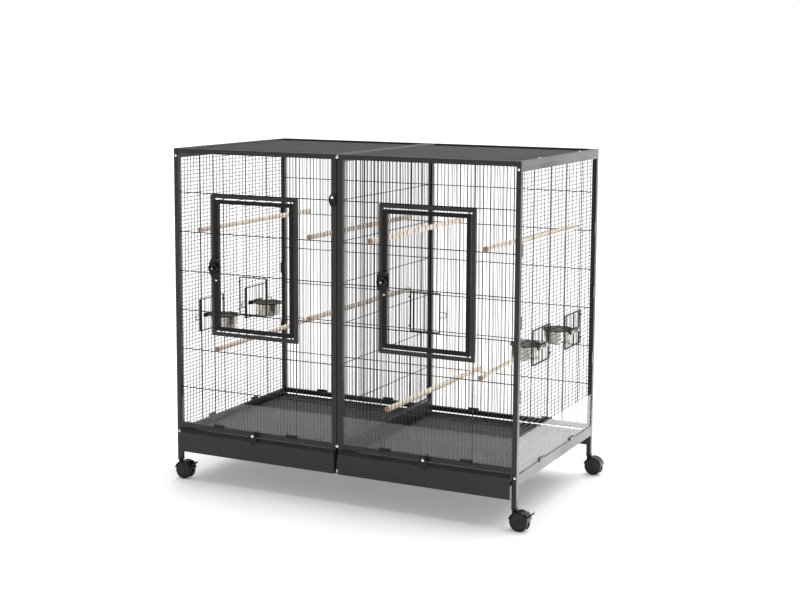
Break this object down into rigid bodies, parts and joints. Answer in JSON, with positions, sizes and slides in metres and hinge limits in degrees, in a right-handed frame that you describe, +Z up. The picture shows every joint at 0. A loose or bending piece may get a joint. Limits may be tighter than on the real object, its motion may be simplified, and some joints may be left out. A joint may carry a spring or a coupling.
{
  "type": "double breeding cage",
  "caption": "Double breeding cage on casters: wire walls on a square tube frame, a pull-out divider, doors, feeding doors with cups, perches and slide-out trays.",
  "frame": {"origin": "on the floor, under the middle of the frame between the four corner posts", "axes": "+X along the front towards the viewer's right, +Y from front to back, +Z up"},
  "size_m": [1.2319, 0.6976, 1.0687],
  "materials": {
    "paint": "charcoal powder coat, low sheen",
    "black_plastic": "moulded, fine texture",
    "bright_steel": "bright plated",
    "stainless_steel": "spun, polished",
    "galvanised_steel": "plated wire and sheet",
    "wood": "plain turned softwood",
    "clear_plastic": "thin clear sheet"
  },
  "bodies": {
    "frame": {"front_frame_left": "paint", "front_frame_right": "paint", "front_grille_left": "paint", "front_grille_right": "paint", "back_panel_left": "paint", "back_panel_right": "paint", "side_panel_left": "paint", "side_panel_right": "paint", "roof_left": "paint", "roof_right": "paint", "divider_channels": "galvanised_steel", "latch_screws": "bright_steel", "tray_runners": "paint", "back_skirt": "paint", "front_guards": "clear_plastic", "side_guards": "clear_plastic", "back_guards": "clear_plastic", "panel_clips": "black_plastic", "perches_left": "wood", "perches_right": "wood", "caster_sockets": "black_plastic", "frame_screws": "bright_steel"},
    "door_left": {"door_left": "paint", "lock_left": "black_plastic"},
    "knob_left": {"knob_left": "black_plastic"},
    "small_door_left": {"small_door_left": "paint"},
    "door_right": {"door_right": "paint", "lock_right": "black_plastic"},
    "knob_right": {"knob_right": "black_plastic"},
    "small_door_right": {"small_door_right": "paint"},
    "divider": {"divider": "paint"},
    "divider_latch": {"divider_latch": "black_plastic"},
    "tray_left": {"tray_left": "paint"},
    "grate_left": {"grate_left": "galvanised_steel"},
    "tray_latch_left": {"tray_latch_left": "black_plastic"},
    "tray_right": {"tray_right": "paint"},
    "grate_right": {"grate_right": "galvanised_steel"},
    "tray_latch_right": {"tray_latch_right": "black_plastic"},
    "feeder_door_fl": {"feeder_door_fl": "paint", "cup_holder_fl": "black_plastic"},
    "cup_fl": {"cup_fl": "stainless_steel"},
    "feeder_door_bl": {"feeder_door_bl": "paint", "cup_holder_bl": "black_plastic"},
    "cup_bl": {"cup_bl": "stainless_steel"},
    "feeder_door_fr": {"feeder_door_fr": "paint", "cup_holder_fr": "black_plastic"},
    "cup_fr": {"cup_fr": "stainless_steel"},
    "feeder_door_br": {"feeder_door_br": "paint", "cup_holder_br": "black_plastic"},
    "cup_br": {"cup_br": "stainless_steel"},
    "caster_fork_fl": {"caster_fork_fl": "black_plastic"},
    "caster_wheel_fl": {"caster_wheel_fl": "black_plastic"},
    "caster_brake_fl": {"caster_brake_fl": "black_plastic"},
    "caster_fork_bl": {"caster_fork_bl": "black_plastic"},
    "caster_wheel_bl": {"caster_wheel_bl": "black_plastic"},
    "caster_fork_fr": {"caster_fork_fr": "black_plastic"},
    "caster_wheel_fr": {"caster_wheel_fr": "black_plastic"},
    "caster_brake_fr": {"caster_brake_fr": "black_plastic"},
    "caster_fork_br": {"caster_fork_br": "black_plastic"},
    "caster_wheel_br": {"caster_wheel_br": "black_plastic"}
  },
  "joints": [
    {"name": "door_left_swing", "type": "hinge", "parent": "frame", "child": "door_left", "pos_m": [-0.1635, -0.327, 0.703], "axis": [0, 0, 1], "range_deg": [0, 110]},
    {"name": "knob_left_turn", "type": "hinge", "parent": "door_left", "child": "knob_left", "pos_m": [-0.4337, -0.333, 0.696], "axis": [0, -1, 0], "range_deg": [-90, 0]},
    {"name": "small_door_left_swing", "type": "hinge", "parent": "door_left", "child": "small_door_left", "pos_m": [-0.3495, -0.329, 0.61405], "axis": [0, 0, 1], "range_deg": [-100, 0]},
    {"name": "door_right_swing", "type": "hinge", "parent": "frame", "child": "door_right", "pos_m": [0.4275, -0.327, 0.703], "axis": [0, 0, 1], "range_deg": [0, 110]},
    {"name": "knob_right_turn", "type": "hinge", "parent": "door_right", "child": "knob_right", "pos_m": [0.1573, -0.333, 0.696], "axis": [0, -1, 0], "range_deg": [-90, 0]},
    {"name": "small_door_right_swing", "type": "hinge", "parent": "door_right", "child": "small_door_right", "pos_m": [0.2415, -0.329, 0.61405], "axis": [0, 0, 1], "range_deg": [-100, 0]},
    {"name": "divider_slide", "type": "slide", "parent": "frame", "child": "divider", "axis": [0, -1, 0], "range_m": [0, 0.6]},
    {"name": "divider_latch_turn", "type": "hinge", "parent": "frame", "child": "divider_latch", "pos_m": [-0.0155, -0.3331, 0.938], "axis": [0, 1, 0], "range_deg": [-90, 90]},
    {"name": "tray_left_slide", "type": "slide", "parent": "frame", "child": "tray_left", "axis": [0, -1, 0], "range_m": [0, 0.5]},
    {"name": "grate_left_lift", "type": "slide", "parent": "tray_left", "child": "grate_left", "axis": [0, 0, 1], "range_m": [0, 0.018]},
    {"name": "tray_latch_left_turn", "type": "hinge", "parent": "frame", "child": "tray_latch_left", "pos_m": [-0.2955, -0.3437, 0.1745], "axis": [0, 1, 0], "range_deg": [-150, 150]},
    {"name": "tray_right_slide", "type": "slide", "parent": "frame", "child": "tray_right", "axis": [0, -1, 0], "range_m": [0, 0.5]},
    {"name": "grate_right_lift", "type": "slide", "parent": "tray_right", "child": "grate_right", "axis": [0, 0, 1], "range_m": [0, 0.018]},
    {"name": "tray_latch_right_turn", "type": "hinge", "parent": "frame", "child": "tray_latch_right", "pos_m": [0.2955, -0.3437, 0.1745], "axis": [0, 1, 0], "range_deg": [-150, 150]},
    {"name": "feeder_door_fl_swing", "type": "hinge", "parent": "frame", "child": "feeder_door_fl", "pos_m": [-0.584, -0.0693, 0.512], "axis": [0, 0, -1], "range_deg": [0, 100]},
    {"name": "cup_fl_lift", "type": "slide", "parent": "feeder_door_fl", "child": "cup_fl", "axis": [0, 0, 1], "range_m": [0, 0.05]},
    {"name": "feeder_door_bl_swing", "type": "hinge", "parent": "frame", "child": "feeder_door_bl", "pos_m": [-0.584, 0.2047, 0.512], "axis": [0, 0, -1], "range_deg": [0, 100]},
    {"name": "cup_bl_lift", "type": "slide", "parent": "feeder_door_bl", "child": "cup_bl", "axis": [0, 0, 1], "range_m": [0, 0.05]},
    {"name": "feeder_door_fr_swing", "type": "hinge", "parent": "frame", "child": "feeder_door_fr", "pos_m": [0.584, -0.0693, 0.512], "axis": [0, 0, 1], "range_deg": [0, 100]},
    {"name": "cup_fr_lift", "type": "slide", "parent": "feeder_door_fr", "child": "cup_fr", "axis": [0, 0, 1], "range_m": [0, 0.05]},
    {"name": "feeder_door_br_swing", "type": "hinge", "parent": "frame", "child": "feeder_door_br", "pos_m": [0.584, 0.2047, 0.512], "axis": [0, 0, 1], "range_deg": [0, 100]},
    {"name": "cup_br_lift", "type": "slide", "parent": "feeder_door_br", "child": "cup_br", "axis": [0, 0, 1], "range_m": [0, 0.05]},
    {"name": "caster_fork_fl_swivel", "type": "hinge", "parent": "frame", "child": "caster_fork_fl", "pos_m": [-0.58, -0.325, 0.05], "axis": [0, 0, 1], "continuous": true},
    {"name": "caster_wheel_fl_spin", "type": "hinge", "parent": "caster_fork_fl", "child": "caster_wheel_fl", "pos_m": [-0.563, -0.325, 0.028], "axis": [0, 1, 0], "continuous": true},
    {"name": "caster_brake_fl_lift", "type": "hinge", "parent": "caster_fork_fl", "child": "caster_brake_fl", "pos_m": [-0.53435, -0.325, 0.04404], "axis": [0, 1, 0], "range_deg": [0, 20]},
    {"name": "caster_fork_bl_swivel", "type": "hinge", "parent": "frame", "child": "caster_fork_bl", "pos_m": [-0.58, 0.325, 0.05], "axis": [0, 0, 1], "continuous": true},
    {"name": "caster_wheel_bl_spin", "type": "hinge", "parent": "caster_fork_bl", "child": "caster_wheel_bl", "pos_m": [-0.563, 0.325, 0.028], "axis": [0, 1, 0], "continuous": true},
    {"name": "caster_fork_fr_swivel", "type": "hinge", "parent": "frame", "child": "caster_fork_fr", "pos_m": [0.58, -0.325, 0.05], "axis": [0, 0, 1], "continuous": true},
    {"name": "caster_wheel_fr_spin", "type": "hinge", "parent": "caster_fork_fr", "child": "caster_wheel_fr", "pos_m": [0.597, -0.325, 0.028], "axis": [0, 1, 0], "continuous": true},
    {"name": "caster_brake_fr_lift", "type": "hinge", "parent": "caster_fork_fr", "child": "caster_brake_fr", "pos_m": [0.62565, -0.325, 0.04404], "axis": [0, 1, 0], "range_deg": [0, 20]},
    {"name": "caster_fork_br_swivel", "type": "hinge", "parent": "frame", "child": "caster_fork_br", "pos_m": [0.58, 0.325, 0.05], "axis": [0, 0, 1], "continuous": true},
    {"name": "caster_wheel_br_spin", "type": "hinge", "parent": "caster_fork_br", "child": "caster_wheel_br", "pos_m": [0.597, 0.325, 0.028], "axis": [0, 1, 0], "continuous": true}
  ]
}
